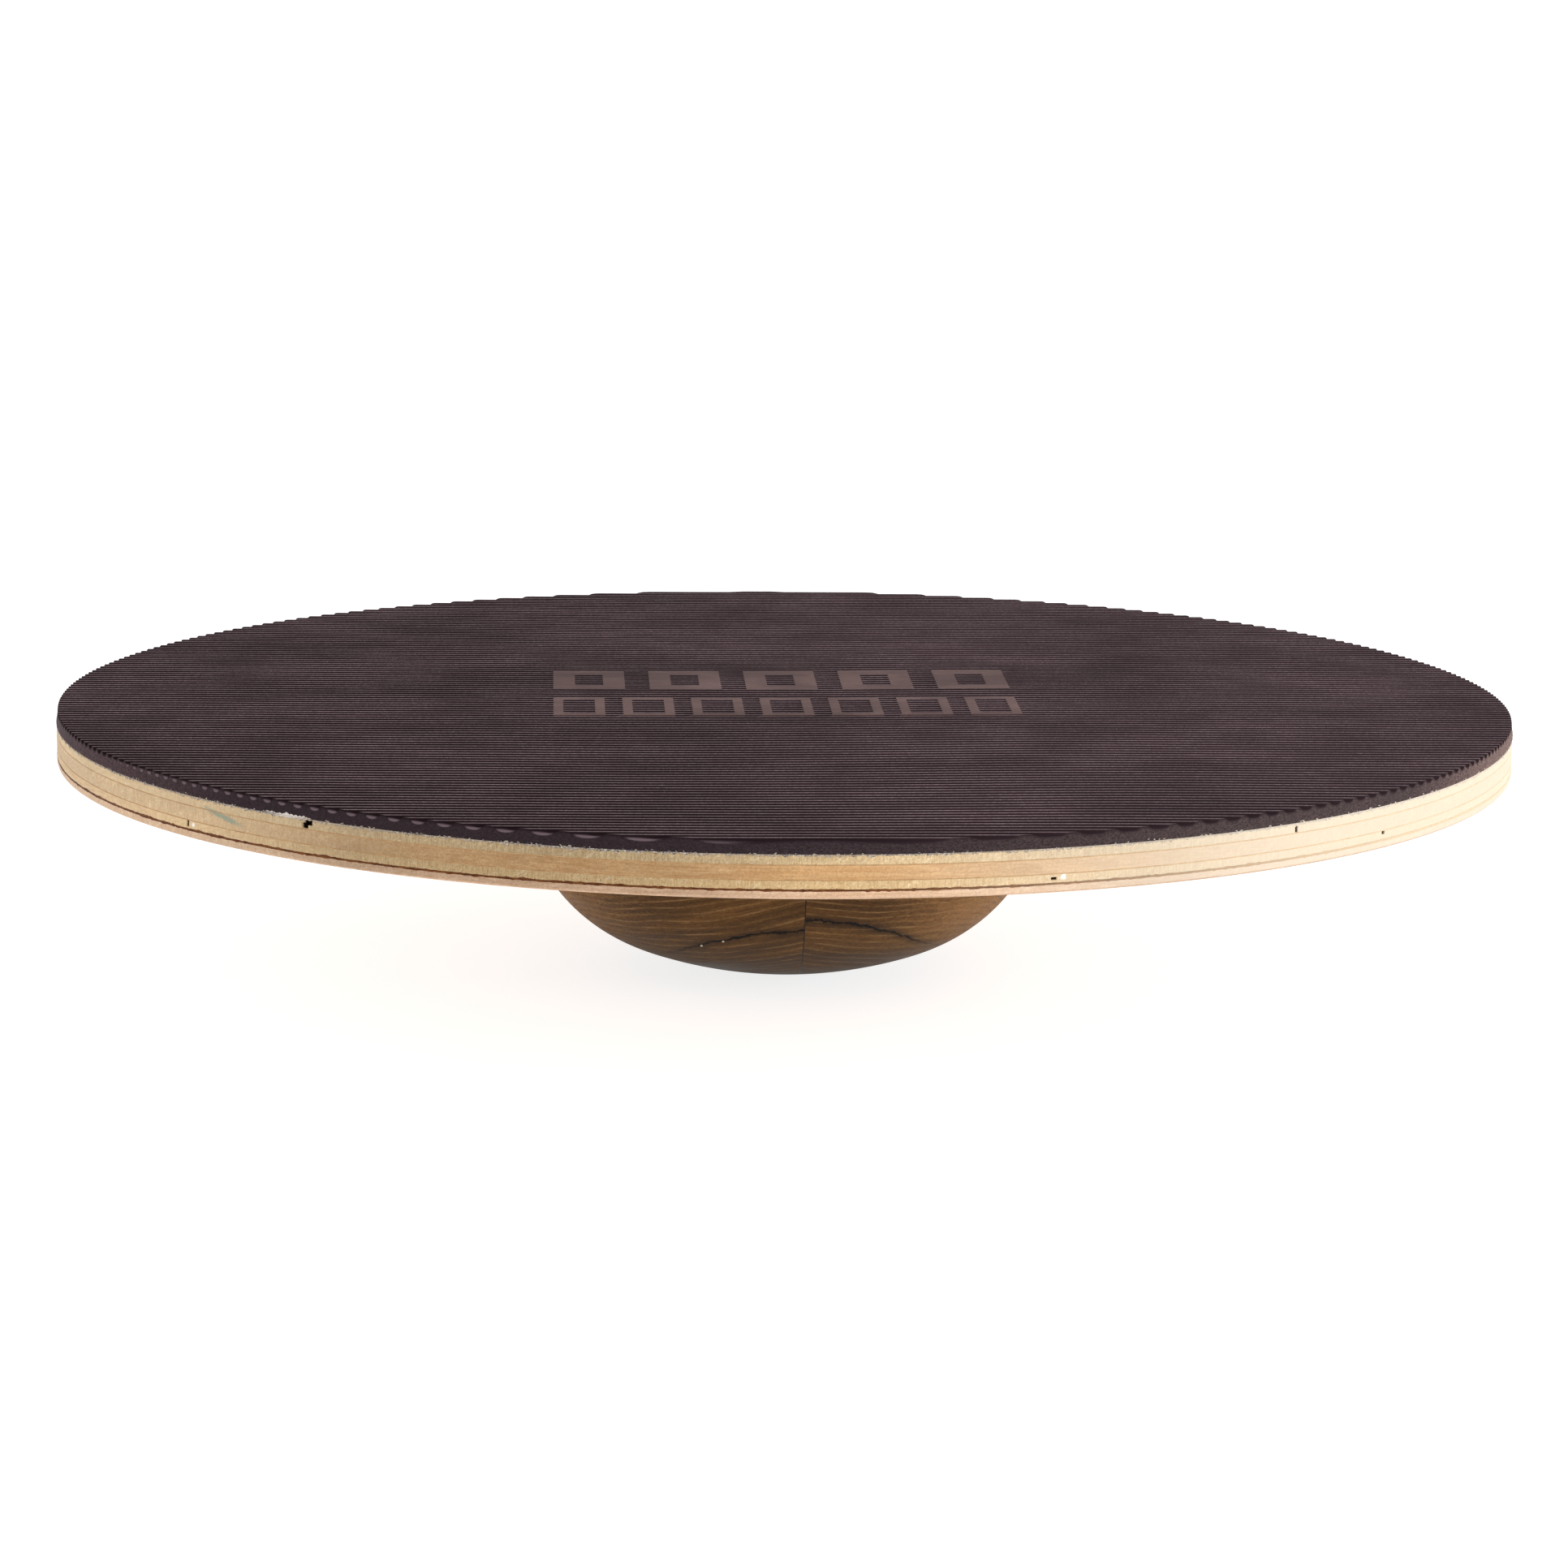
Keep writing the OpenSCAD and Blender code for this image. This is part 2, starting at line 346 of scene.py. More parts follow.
def rubber_material():
    """Black-brown rubber: dusty crests lightened by wear and a painted highlight, over grooves
    painted nearly black as shade, and smooth flat marks.
    """
    s = Shader("moulded_rubber", roughness=0.55, specular=0.04)
    crest, mark, edge, lip = (s.node("Attribute", {"attribute_name": name}).outputs["Fac"]
                              for name in MASKS)
    along = s.noise(s.place((0.08, 0.7, 0.3)), detail=4, roughness=0.65)
    specks = s.noise(s.place((1.3, 1.3, 1.3)), detail=3, roughness=0.7)
    grit = s.noise(s.place((1.4, 1.4, 2.6)), detail=5, roughness=0.85)
    colour = rubber_top(s, along, specks, crest, mark)
    colour = s.mix(edge, colour, rubber_side(s, grit))
    # painted highlight on the lips at the grooves' ends, weaker towards the right
    pale = s.maths("MULTIPLY", s.fade(lip, 0.05, 0.8), s.fade(s.axis("X"), 0, 120, 1, 0.5))
    colour = s.mix(pale, colour, srgb(104, 88, 93))
    dust = s.maths("MULTIPLY", s.fade(s.noise(s.place((2.6, 2.6, 2.6))), 0.74, 0.8), 0.4)
    colour = s.mix(dust, colour, srgb(150, 138, 136))
    rough = s.fade(along, 0.2, 0.8, 0.6, 0.76)
    return s.finish(colour, rough, s.bump(specks, 0.05, 0.5, s.bump(grit, 0.2, 0.3)))


def rubber_top(s, along, specks, crest, mark):
    """Colour of the top: grooves painted nearly black as shade, and paler towards the right under
    painted light; crests lightened by wear and a painted highlight; and the flat marks.
    """
    patches = s.noise(s.place((0.014, 0.017, 0.014)))
    scuffs = s.noise(s.place((0.04, 0.055, 0.05)), detail=4, roughness=0.6)
    # painted shade: the grooves are nearly black, with random variation
    groove = s.mix(along, srgb(18, 8, 11), srgb(36, 22, 26))
    # painted light: the grooves turn paler towards the right
    groove = s.mix(s.fade(s.axis("X"), -90, 130), groove, srgb(46, 33, 37))
    # crest colour: wear, and a painted highlight that makes the crests lighter
    crest_wear_and_highlight = s.mix(s.fade(specks, 0.35, 0.75), srgb(105, 87, 90), srgb(138, 119, 122))
    crest_wear_and_highlight = s.mix(s.fade(scuffs, 0.36, 0.6, 0.4, 0), crest_wear_and_highlight, srgb(70, 56, 60))
    flat = s.mix(specks, srgb(92, 71, 69), srgb(118, 95, 91))
    flat = s.mix(s.fade(scuffs, 0.42, 0.6, 0.45, 0), flat, srgb(74, 57, 57))
    # painted highlight on the crests, painted shade in the grooves
    colour = s.mix(s.fade(crest, 0.8, 0.99), groove, crest_wear_and_highlight)
    return s.shade(s.mix(mark, colour, flat), patches, 0.76, 1.2)


def rubber_side(s, grit):
    """Colour of the cut edge: gritty, with painted light making it paler on the right and at the
    left end.
    """
    x = s.axis("X")
    # painted light: the pale grit turns paler towards the right
    pale_grit_painted_light = s.mix(s.fade(x, -50, 130), srgb(60, 48, 52), srgb(90, 75, 74))
    # painted light: paler at the left end
    pale_grit_painted_light = s.mix(s.fade(x, -190, -135, 0.8, 0), pale_grit_painted_light, srgb(106, 82, 85))
    # painted light: palest at the right end
    pale_grit_painted_light = s.mix(s.fade(x, 150, 195), pale_grit_painted_light, srgb(150, 123, 116))
    return s.mix(s.fade(grit, 0.3, 0.7), srgb(33, 26, 29), pale_grit_painted_light)


def contact_glue_material():
    """Dried contact glue at the rim: grey-white crumbs with dark dirt, and painted light that makes
    it paler to the right.
    """
    s = Shader("dried_contact_glue", roughness=0.85, specular=0.2)
    crumbs = s.noise(s.place((2.0, 2.0, 2.6)), detail=4, roughness=0.8)
    long_patches = s.noise(s.place((0.05, 0.05, 0.05)), detail=3)
    colour = s.ramp(crumbs, (0.36, srgb(50, 42, 44)), (0.45, srgb(112, 106, 104)),
                    (0.54, srgb(178, 166, 152)), (0.66, srgb(226, 216, 204)))
    colour = s.mix(s.fade(long_patches, 0.4, 0.6, 0, 0.4), colour, srgb(186, 164, 136))
    # painted light: paler towards the right
    colour = s.mix(s.fade(s.axis("X"), 10, 150, 0, 0.6), colour, srgb(236, 224, 206))
    start, end, _ = WHITE_CHIP
    chip = smear(s, (start, MAT_LOW + 0.4), (end, MAT_LOW + 0.2), 1.1)
    return s.finish(s.mix(chip, colour, srgb(240, 230, 224)), None, s.bump(crumbs, 0.3))


def glue_material(name, pale, dark):
    """Hardened glue in a joint, with pale and dark stretches, and painted light that pales it
    towards the right.
    """
    s = Shader(name, roughness=0.55, specular=0.1)
    along = s.noise(s.place((0.35, 0.35, 1.5)), detail=5, roughness=0.75)
    colour = s.mix(s.fade(along, 0.38, 0.62), pale, dark)
    # painted light: paler towards the right
    colour = s.mix(s.fade(s.axis("X"), 0, 180, 0, 0.85), colour, srgb(226, 202, 168))
    return s.finish(colour, None, s.bump(along, 0.1))


def veneer_material(name, along_x, long_grain, end_grain, chipped=False, smeared=False, flecks=()):
    """Sawn edge of one veneer, whose fibres run along X or along Y. long_grain and end_grain are
    each a pale and a dark colour; flecks are (angle, z, size) of white crumbs."""
    s = Shader(name, roughness=0.6, specular=0.2)

    def stretched(along, across, height):
        return (along, across, height) if along_x else (across, along, height)

    streaks = s.noise(s.place(stretched(0.025, 0.5, 1.7)), detail=5, roughness=0.7)
    ticks = s.noise(s.place(stretched(0.05, 2.6, 0.3)), detail=4, roughness=0.75)
    normal = s.node("SeparateXYZ", Vector=s.node("NewGeometry").outputs["True Normal"])
    across = s.maths("ABSOLUTE", normal.outputs["X" if along_x else "Y"])
    cut_across = s.fade(across, 0.3, 0.85)
    colour = veneer_grain(s, streaks, ticks, cut_across, long_grain, end_grain)
    # painted light and shade go on the upright rim only, not on the faces above and below
    upright = s.fade(s.maths("ABSOLUTE", normal.outputs["Z"]), 0.3, 0.8, 1, 0)
    colour = s.mix(upright, colour, painted_rim_light(s, colour))
    if smeared:
        colour = s.mix(smear(s, *TEAL_SMEAR, SMEAR_W), colour, srgb(118, 142, 128))
    for angle, z, size in flecks:
        colour = s.mix(spot(s, angle, z, size), colour, srgb(244, 240, 232))
    if chipped:
        # painted shade inside the chips and voids
        colour = s.mix(painted_chip_shade(s), colour, srgb(26, 18, 15))
    relief = s.bump(ticks, 0.08, 0.6, s.bump(streaks, 0.12, 0.5))
    return s.finish(colour, s.fade(streaks, 0.3, 0.7, 0.5, 0.7), relief)


def veneer_grain(s, streaks, ticks, cut_across, long_grain, end_grain):
    """Colour of sawn veneer: long streaks where the rim is cut along the fibres, and fine upright
    ticks and pores where it is cut across them."""
    slants = s.noise(s.place((0.35, 0.35, 1.3), (0, 35, 0)), detail=5, roughness=0.75)
    fuzz = s.noise(s.place((1.7, 1.7, 2.1)), detail=5, roughness=0.85)
    pores = s.noise(s.place((2.0, 2.0, 2.3)), roughness=0.6)
    clouds = s.noise(s.place((0.03, 0.03, 0.2)), detail=4)
    long_colour = s.mix(s.fade(streaks, 0.36, 0.64), *long_grain)
    long_colour = s.mix(s.fade(slants, 0.48, 0.64, 0, 0.7), long_colour, long_grain[1])
    end_colour = s.mix(s.fade(ticks, 0.38, 0.62), *end_grain)
    end_colour = s.mix(s.fade(slants, 0.36, 0.48, 0.4, 0), end_colour, srgb(240, 222, 184))
    colour = s.mix(cut_across, long_colour, end_colour)
    colour = s.shade(colour, fuzz, 0.62, 1.14)
    colour = s.shade(colour, clouds, 0.9, 1.08)
    dots = s.maths("MULTIPLY", s.fade(pores, 0.62, 0.72, 0, 0.6), s.fade(cut_across, 0, 1, 0.4, 1))
    return s.mix(dots, colour, srgb(116, 82, 52))


def painted_rim_light(s, colour):
    """Painted light and shade on the sawn rim: greyer on the left, paler on the right, and darkest
    between the left end and the middle."""
    x = s.axis("X")
    # painted shade: greyer towards the far left
    colour = s.mix(s.fade(x, -150, -80, 0.28, 0), colour, srgb(204, 180, 150))
    # painted light: paler towards the right
    colour = s.mix(s.fade(x, 0, 130, 0, 0.7), colour, srgb(237, 223, 202))
    # painted light and shade along X: bright at the left end, darkest between it and the middle,
    # brightest just right of the middle
    painted_light_and_shade = s.ramp(s.fade(x, -BOARD_R, BOARD_R), (0.02, 1.12), (0.12, 0.76), (0.35, 0.78),
                  (0.5, 1.08), (0.58, 1.15), (0.8, 0.9))
    return s.mix(1.0, colour, painted_light_and_shade, "MULTIPLY")


def painted_chip_shade(s):
    """Mask of what lies behind the sawn rim, inside a chip or a void, which is painted dark as
    shade.
    """
    level = s.vector("MULTIPLY", s.node("TexCoord").outputs["Object"], (1 / MM, 1 / MM, 0))
    radius = s.vector("LENGTH", level.outputs[0])
    return s.fade(radius.outputs["Value"], RIM_R - 0.5, RIM_R - 0.2, 1, 0)


def on_rim_point(angle, z):
    """The point of the rim at an angle and a height."""
    turn = math.radians(angle)
    return Vector((BOARD_R * math.sin(turn), -BOARD_R * math.cos(turn), z))


def spot(s, angle, z, size):
    """Mask of a small ragged fleck at a place on the rim."""
    offset = s.vector("DISTANCE", s.place(), on_rim_point(angle, z))
    ragged = s.maths("MULTIPLY", s.noise(s.place((1.1, 1.1, 1.4)), detail=3), size * 1.6)
    return s.fade(s.maths("ADD", offset.outputs["Value"], ragged), size * 1.2, size * 1.9, 0.9, 0)


def smear(s, start, end, width):
    """Mask of a thin smear between two places on the rim, each an (angle, height)."""
    a, b = on_rim_point(*start), on_rim_point(*end)
    middle, reach = (a + b) / 2, (b - a)
    along = reach.normalized()
    across = along.cross(middle.normalized()).normalized()
    offset = s.vector("SUBTRACT", s.place(), middle)
    total = 0.0
    for direction, size in ((along, reach.length / 2), (across, width)):
        dot = s.vector("DOT_PRODUCT", offset.outputs[0], direction / size)
        squared = s.maths("POWER", s.maths("ABSOLUTE", dot.outputs["Value"]), 2.0)
        total = s.maths("ADD", total, squared)
    ragged = s.maths("MULTIPLY", s.noise(s.place((0.5, 0.5, 1.2)), detail=3), 1.1)
    return s.fade(s.maths("ADD", total, ragged), 0.6, 1.4, 0.7, 0)


def dome_material(name, lean, crack, end_light_from, seed, flecks=()):
    """Dark turned hardwood. lean tips its growth rings, and seed varies them. crack is (x, z,
    bend) of an arch that falls away from the seam. Beyond end_light_from a painted light makes
    the wood lighter and more orange. flecks are (x, z) of small pale chips along the crack."""
    s = Shader(name, roughness=0.6, specular=0.08)
    tipped = (0, lean, 0)
    shift = (seed, seed * 2, seed * 3)
    bands = s.noise(s.place((0.012, 0.03, 0.2), (0, lean * 1.2, 0), shift), detail=3)
    fibres = s.noise(s.place((0.07, 0.3, 2.3), tipped, shift), detail=5, roughness=0.75)
    mottle = s.noise(s.place((0.8, 1.0, 1.9), tipped), detail=5, roughness=0.85)
    dots = s.noise(s.place((1.3, 1.6, 2.4), tipped), roughness=0.6)
    colour = s.mix(s.fade(bands, 0.32, 0.68), srgb(72, 48, 23), srgb(98, 68, 35))
    # painted light: lighter and more orange towards the dome's ends, with a ragged start
    out = s.maths("ADD", s.maths("ABSOLUTE", s.axis("X")), s.maths("MULTIPLY", mottle, 18))
    end_light = s.fade(out, end_light_from, end_light_from + END_LIGHT_REACH, 0, 0.8)
    colour = growth_rings(s, s.mix(end_light, colour, srgb(143, 102, 58)), tipped, shift)
    colour = s.mix(s.fade(fibres, 0.54, 0.66, 0, 0.5), colour, srgb(46, 33, 24))
    colour = s.mix(s.fade(fibres, 0.32, 0.44, 0.3, 0), colour, srgb(132, 100, 68))
    colour = s.shade(colour, mottle, 0.58, 1.42)
    colour = s.mix(s.fade(dots, 0.68, 0.75, 0, 0.5), colour, srgb(150, 121, 88))
    # painted shade: darker towards the bottom of the dome
    colour = s.mix(s.fade(s.axis("Z"), 0, BOTTOM_SHADE_H, 0.85, 0), colour, srgb(36, 25, 17))
    halo, core = crack_masks(s, *crack)
    colour = s.mix(halo, colour, srgb(38, 27, 20))
    colour = s.mix(core, colour, srgb(11, 8, 8))
    for place in flecks:
        colour = s.mix(dome_fleck(s, dots, *place), colour, srgb(206, 192, 172))
    relief = s.maths("SUBTRACT", s.maths("MULTIPLY", fibres, -0.4), core)
    return s.finish(colour, s.fade(bands, 0.3, 0.7, 0.52, 0.66), s.bump(relief, 0.3, 0.7))


def growth_rings(s, base, tipped, shift):
    """Light and dark rings over a base colour: waves of the tipped height, warped by slow noise
    and broken up by finer noise."""
    height = s.node("SeparateXYZ", Vector=s.place((1, 1, 1), tipped)).outputs["Z"]
    warp = s.noise(s.place((0.011, 0.02, 0.025), tipped, shift), detail=3, roughness=0.35)
    breaks = s.noise(s.place((0.06, 0.1, 0.5), tipped, shift), detail=4, roughness=0.65)
    ring = s.maths("ADD", height, s.maths("MULTIPLY", warp, RING_WARP))
    wave = s.maths("SINE", s.maths("MULTIPLY", ring, 2 * math.pi / RING_PITCH))
    light = s.maths("MULTIPLY", s.fade(wave, 0.5, 0.97), s.fade(breaks, 0.4, 0.66, 0.1, 0.58))
    deep = s.maths("MULTIPLY", s.fade(wave, -0.97, -0.4, 1, 0), s.fade(breaks, 0.38, 0.6, 0.4, 0))
    return s.mix(deep, s.mix(light, base, srgb(138, 107, 70)), srgb(50, 35, 25))


def crack_masks(s, crack_x, crack_z, bend):
    """Masks of the dark halo round the crack and of the crack itself. Both follow a ragged arch
    on the front of the dome, and fade with distance from the seam."""
    from_seam = s.maths("SUBTRACT", s.axis("X"), crack_x)
    fall = s.maths("MULTIPLY", s.maths("POWER", s.maths("ABSOLUTE", from_seam), 2.0), bend)
    arch = s.maths("SUBTRACT", crack_z, fall)
    ragged = s.noise(s.place((0.2, 0.1, 0.2)), detail=7, roughness=0.75)
    ragged = s.maths("MULTIPLY", s.maths("SUBTRACT", ragged, 0.5), CRACK_RAGGED)
    gap = s.maths("ABSOLUTE", s.maths("ADD", s.maths("SUBTRACT", s.axis("Z"), arch), ragged))
    run = s.fade(s.maths("ABSOLUTE", from_seam), *CRACK_RUN, 1, 0)
    strength = s.maths("MULTIPLY", run, s.fade(s.axis("Y"), -10, 15, 1, 0))
    halo = s.maths("MULTIPLY", s.fade(gap, *CRACK_HALO, 0.62, 0), strength)
    core = s.maths("MULTIPLY", s.fade(gap, *CRACK_EDGE, 0.95, 0), strength)
    return halo, core


def dome_fleck(s, dots, x, z):
    """Mask of a small pale chip on the front of the dome."""
    off = s.node("CombineXYZ", X=s.maths("SUBTRACT", s.axis("X"), x),
                 Y=s.fade(s.axis("Y"), -20, 0, 0, 9), Z=s.maths("SUBTRACT", s.axis("Z"), z))
    away = s.vector("LENGTH", off.outputs[0])
    chip = s.maths("ADD", away.outputs["Value"], s.maths("MULTIPLY", dots, 0.9))
    return s.fade(chip, 0.6, 0.85, 0.8, 0)


def steel_material():
    """Zinc-plated steel with a faint yellow tarnish."""
    s = Shader("zinc_plated_steel", roughness=0.35, specular=0.5, Metallic=1.0)
    tarnish = s.noise(s.place((0.5, 0.5, 0.5)), detail=4, roughness=0.7)
    colour = s.mix(s.fade(tarnish, 0.35, 0.7), srgb(196, 194, 186), srgb(164, 160, 146))
    return s.finish(colour, s.fade(tarnish, 0.3, 0.7, 0.28, 0.45), s.bump(tarnish, 0.03))


def floor_material():
    """White studio floor that glows a little, as a light table does, so that shadows are pale."""
    s = Shader("studio_floor", roughness=0.9, specular=0.1)
    s.surface.inputs["Emission Color"].default_value = (1, 1, 1, 1)
    s.surface.inputs["Emission Strength"].default_value = FLOOR_GLOW
    grain = s.noise(s.place((0.02, 0.02, 0.02)))
    return s.finish(s.mix(grain, srgb(176, 176, 176), srgb(184, 184, 184)))


# ---------------------------------------------------------------- the mat
def frame_boxes():
    """Every open frame as ((x0, x1, y0, y1), line width)."""
    for count, width, length, line, near in (BOLD_FRAMES, FINE_FRAMES):
        step = (MARKS_W - width) / (count - 1)
        for i in range(count):
            left = i * step - MARKS_W / 2
            yield (left, left + width, near, near + length), line


def raised_spans(y):
    """Stretches of X in which the mat is flat at this y."""
    spans = []
    for (x0, x1, y0, y1), line in frame_boxes():
        if not y0 <= y <= y1:
            continue
        if y0 + line <= y <= y1 - line:
            spans += [(x0, x0 + line), (x1 - line, x1)]
        else:
            spans.append((x0, x1))
    return sorted(spans)


def rib_share(y):
    """Height of the rib surface at y, from 0 in a groove to 1 on a crest."""
    off = abs(y - RIB_PITCH * round(y / RIB_PITCH))
    points = RIB_PROFILE + ((RIB_PITCH / 2, 0),)
    for (a, high), (b, low) in zip(points, points[1:]):
        if off <= b:
            return high + (low - high) * (off - a) / (b - a)
    return 0


def mat_rows():
    """The y of every row of points across the mat: rib profile, mark sides and the two tips."""
    ribs = math.ceil(BOARD_R / RIB_PITCH)
    rows = set()
    for i in range(-ribs, ribs + 1):
        rows.add((i + 0.5) * RIB_PITCH)
        for off, _ in RIB_PROFILE:
            rows.update((i * RIB_PITCH + off, i * RIB_PITCH - off))
    for (_, _, y0, y1), line in frame_boxes():
        for side, out in ((y0, -1), (y0 + line, 1), (y1 - line, -1), (y1, 1)):
            rows.update((side, side + out * MARK_FLANK))
    tip = BOARD_R - MAT_BEVEL
    for i in range(1, TIP_ROWS + 1):
        near_tip = tip * math.cos(math.radians(TIP_STEP * i))
        rows.update((near_tip, -near_tip))
    kept = []
    for y in sorted(rows):
        if abs(y) < tip and (not kept or y - kept[-1] > ROW_GAP):
            kept.append(y)
    return kept


def row_points(y):
    """(x, share, mark) along one row of the mat, from left to right."""
    share = rib_share(y)
    high = MAT_TOP - MAT_LOW
    end_r = BOARD_R - MAT_BEVEL * (high - RIB_H * (1 - share)) / high
    half = math.sqrt(max(end_r ** 2 - y ** 2, 0.01))
    # columns at the inner edge of the painted highlight on the lip
    inset = math.sqrt(max((end_r - LIP_HIGHLIGHT_W) ** 2 - y ** 2, 0))
    count = max(2, 2 * math.ceil(half / COLUMN_STEP))
    spans = raised_spans(y)
    points = [(-half, share, 0.0), (half, share, 0.0)]
    if inset > 1:
        points += [(-inset, share, 0.0), (inset, share, 0.0)]
    for i in range(1, count):
        x = half * (2 * i / count - 1)
        on_mark = any(a - MARK_FLANK <= x <= b + MARK_FLANK for a, b in spans)
        if abs(x) < inset - COLUMN_GAP and not on_mark:
            points.append((x, share, 0.0))
    for a, b in spans:
        middle = [(a + (b - a) * part, 1.0, 1.0) for part in (0, 0.5, 1)]
        points += [(a - MARK_FLANK, share, 0.0)] + middle + [(b + MARK_FLANK, share, 0.0)]
    return sorted(points)


def settled(x, y, share):
    """Where a point of the mat's top lies once the mat is glued down: ribs swerve a little, less
    so towards the rim, and the surface swells and dips."""
    fade = 1 - min(1, math.hypot(x, y) / BOARD_R) ** 6
    swerve = math.tanh((x - SWERVE_X) / SWERVE_REACH) - x / BOARD_R
    swerve += 0.25 * wobble(x, y, 0, 70, 3)
    z = MAT_TOP - MAT_SWELL - RIB_H * (1 - share)
    z += MAT_SWELL * (0.75 * wobble(x, y, 0, 85, 11) + 0.25 * wobble(x, y, 0, 30, 5))
    return x, y + RIB_SWERVE * swerve * fade, z


def strip(low, high, verts):
    """Triangles between two rows of points that run left to right."""
    faces, i, j = [], 0, 0
    while i < len(low) - 1 or j < len(high) - 1:
        next_low = verts[low[i + 1]][0] if i < len(low) - 1 else math.inf
        next_high = verts[high[j + 1]][0] if j < len(high) - 1 else math.inf
        if next_low <= next_high:
            faces.append((low[i], low[i + 1], high[j]))
            i += 1
        else:
            faces.append((low[i], high[j + 1], high[j]))
            j += 1
    return faces


def window(angle, start, full, fading, stop):
    """0 before start and after stop, 1 between full and fading."""
    return max(0, min(1, (angle - start) / (full - start), (stop - angle) / (stop - fading)))


def lip_highlight_strength(x, y):
    """How strong the painted highlight on the lip of a groove's end is: most along the front left,
    where it curls up, and a little along the front right."""
    angle = math.degrees(math.atan2(x, -y))
    return window(angle, *LIP_HIGHLIGHT_LEFT) + LIP_HIGHLIGHT_RIGHT_SHARE * window(angle, *LIP_HIGHLIGHT_RIGHT)


def mat_top():
    """Points of the mat's top, each (x, y, z) and its four masks, and the rows that they form."""
    points, rows = [], []
    for y in mat_rows():
        row = []
        across = row_points(y)
        for i, (x, share, flat) in enumerate(across):
            at_end = i in (0, len(across) - 1)
            # painted highlight on the lip, strongest at the bottom of a groove's end
            lip = lip_highlight_strength(x, y) * (1 - share) ** 3 if at_end else 0.0
            row.append(len(points))
            points.append((*settled(x, y, share), share, flat, 0.0, lip))
        rows.append(row)
    return points, rows


def mat_side(points, loop):
    """Adds the mat's cut edge to its points, as rings from a loop round the top down to the glue.
    Returns its faces and the one below the mat."""
    faces, above, count = [], loop, len(loop)
    for depth in SIDE_DEPTHS:
        ring = []
        for i in loop:
            x, y, z = points[i][:3]
            r = math.hypot(x, y)
            grow = (r + (BOARD_R - r) * depth) / r
            grow -= SIDE_ROUGH * (1 + wobble(x, y, depth * 9, 2.5, 4)) * (depth < 1)
            # the first ring down the cut edge carries the painted highlight of the lip too
            lip = points[i][-1] if depth == LIP_HIGHLIGHT_DEPTH else 0.0
            ring.append(len(points))
            points.append((x * grow, y * grow, z + (MAT_LOW - z) * depth,
                           0.0, 0.0, min(1, depth / EDGE_DEPTH), lip))
        faces += [(above[i], ring[i], ring[(i + 1) % count], above[(i + 1) % count])
                  for i in range(count)]
        above = ring
    return faces + [above[::-1]]


def rubber_mat():
    """The mat, with its masks as attributes of its points."""
    points, rows = mat_top()
    faces = []
    for low, high in zip(rows, rows[1:]):
        faces += strip(low, high, points)
    right_ends = [row[-1] for row in rows[1:-1]]
    left_ends = [row[0] for row in rows[-2:0:-1]]
    faces += mat_side(points, rows[0] + right_ends + rows[-1][::-1] + left_ends)
    piece = mesh_piece("rubber_mat_ribbed", [point[:3] for point in points], faces, 50)
    for name, values in zip(MASKS, list(zip(*points))[3:]):
        layer = piece.data.attributes.new(name, "FLOAT", "POINT")
        layer.data.foreach_set("value", values)
    settle(piece, "rubber_mat", rubber_material())


# ---------------------------------------------------------------- the deck
def chip_depth(angle, z):
    """How deep the deepest chip is at a place on the rim."""
    depth = 0
    for chip_angle, low, high, half, deep in CHIPS:
        if low <= z <= high:
            away = math.radians(abs(angle - chip_angle)) * BOARD_R / half
            away += 0.25 * wobble(angle * 3, 0, z, 0.5)
            depth = max(depth, deep * max(0, 1 - away ** 6))
    return depth


def rim_angles(low, high):
    """Angles of the points round a ply's rim, closer together at the chips between two heights."""
    angles = {360 * i / RIM_STEPS - 180 for i in range(RIM_STEPS)}
    for chip_angle, chip_low, chip_high, half, _ in CHIPS:
        reach = math.degrees(half / BOARD_R) * CHIP_REACH
        if chip_low < high and chip_high > low:
            steps = range(-CHIP_STEPS, CHIP_STEPS + 1)
            angles.update(chip_angle + reach * i / CHIP_STEPS for i in steps)
    return sorted(angles)


def rim_heights(low, high, eased_low, eased_high):
    """Heights of the rings of points up a ply's rim, closer together in its eased corners."""
    heights = {low, high}
    for i in range(RIM_LEVELS):
        slant = math.radians(90 * i / RIM_LEVELS)
        heights.add(low + eased_low * (1 - math.sin(slant)))
        heights.add(high - eased_high * (1 - math.sin(slant)))
        heights.add(low + eased_low + (high - low - eased_low - eased_high) * i / RIM_LEVELS)
    return sorted(heights)


def corner_drop(from_face, eased):
    """How far a rounded corner draws the rim in at a distance from its face."""
    share = max(0, 1 - from_face / eased)
    return eased * (1 - math.sqrt(1 - share ** 2))


def ply(name, node, material, eased_low=EASED):
    """One veneer: a disc with a sawn rim, slightly eased corners, and its chips."""
    low, high = (corner.z for corner in span(node))
    angles = rim_angles(low, high)
    verts, faces, rings = [], [], []
    for z in rim_heights(low, high, eased_low, EASED):
        easing = corner_drop(z - low, eased_low) + corner_drop(high - z, EASED)
        ring = []
        for angle in angles:
            turn = math.radians(angle)
            x, y = math.sin(turn), -math.cos(turn)
            r = RIM_R + RIM_ROUGH * wobble(x * RIM_R, y * RIM_R, z, 1.2) - easing
            r -= chip_depth(angle, z)
            ring.append(len(verts))
            verts.append((x * r, y * r, z))
        rings.append(ring)
    for below, above in zip(rings, rings[1:]):
        faces += ring_faces(below, above)
    faces += [tuple(rings[0][::-1]), tuple(rings[-1])]
    piece = mesh_piece(name, verts, faces, 35)
    drill(piece)
    settle(piece, node, material)


